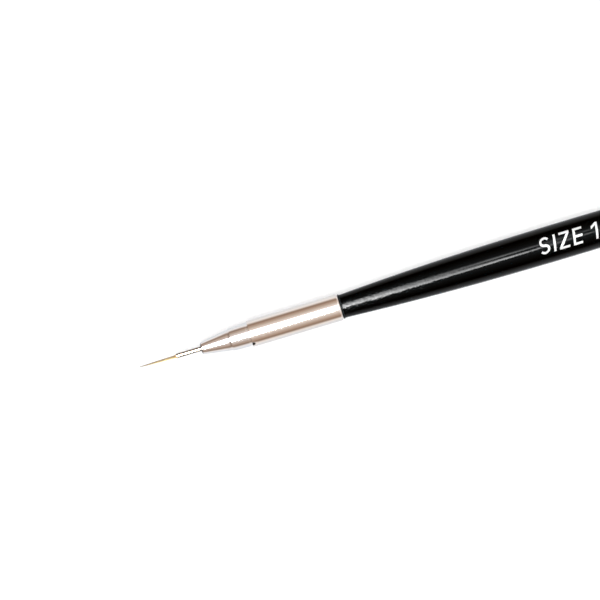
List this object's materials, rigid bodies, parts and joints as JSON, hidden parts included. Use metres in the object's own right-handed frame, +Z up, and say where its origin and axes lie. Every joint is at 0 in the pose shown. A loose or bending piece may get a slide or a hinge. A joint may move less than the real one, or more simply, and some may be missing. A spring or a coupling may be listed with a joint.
{
  "type": "fine detail brush",
  "caption": "Very fine liner brush: hair tuft in a capillary tube, tapered metal ferrule and a long lacquered wooden handle.",
  "frame": {"origin": "under the middle of the brush's length, on the surface that the belly of the handle rests on", "axes": "+X along the brush from the hair tip towards the end of the handle, +Z up, away from the resting surface and towards the printed size mark"},
  "size_m": [0.18, 0.0056, 0.0057],
  "materials": {
    "hair": "satin",
    "thread": "matte",
    "epoxy": "gloss",
    "tube_steel": "polished",
    "nickel": "polished",
    "handle_wood": "matte",
    "black_lacquer": "gloss",
    "white_print": "satin"
  },
  "bodies": {
    "brush": {"hair_root": "hair", "root_tie": "thread", "root_glue": "epoxy", "fine_tube": "tube_steel", "nose": "nickel", "nose_filler": "epoxy", "sleeve": "nickel", "tenon_glue": "epoxy", "handle_core": "handle_wood", "lacquer": "black_lacquer", "size_mark": "white_print"},
    "tuft": {"tuft": "hair"}
  },
  "joints": [
    {"name": "tuft_flex", "type": "hinge", "parent": "brush", "child": "tuft", "pos_m": [-0.0842, 0, 0.00285], "axis": [0, 0, 1], "range_deg": [-40, 40], "stiffness_Nm_per_rad": 0.000063}
  ]
}
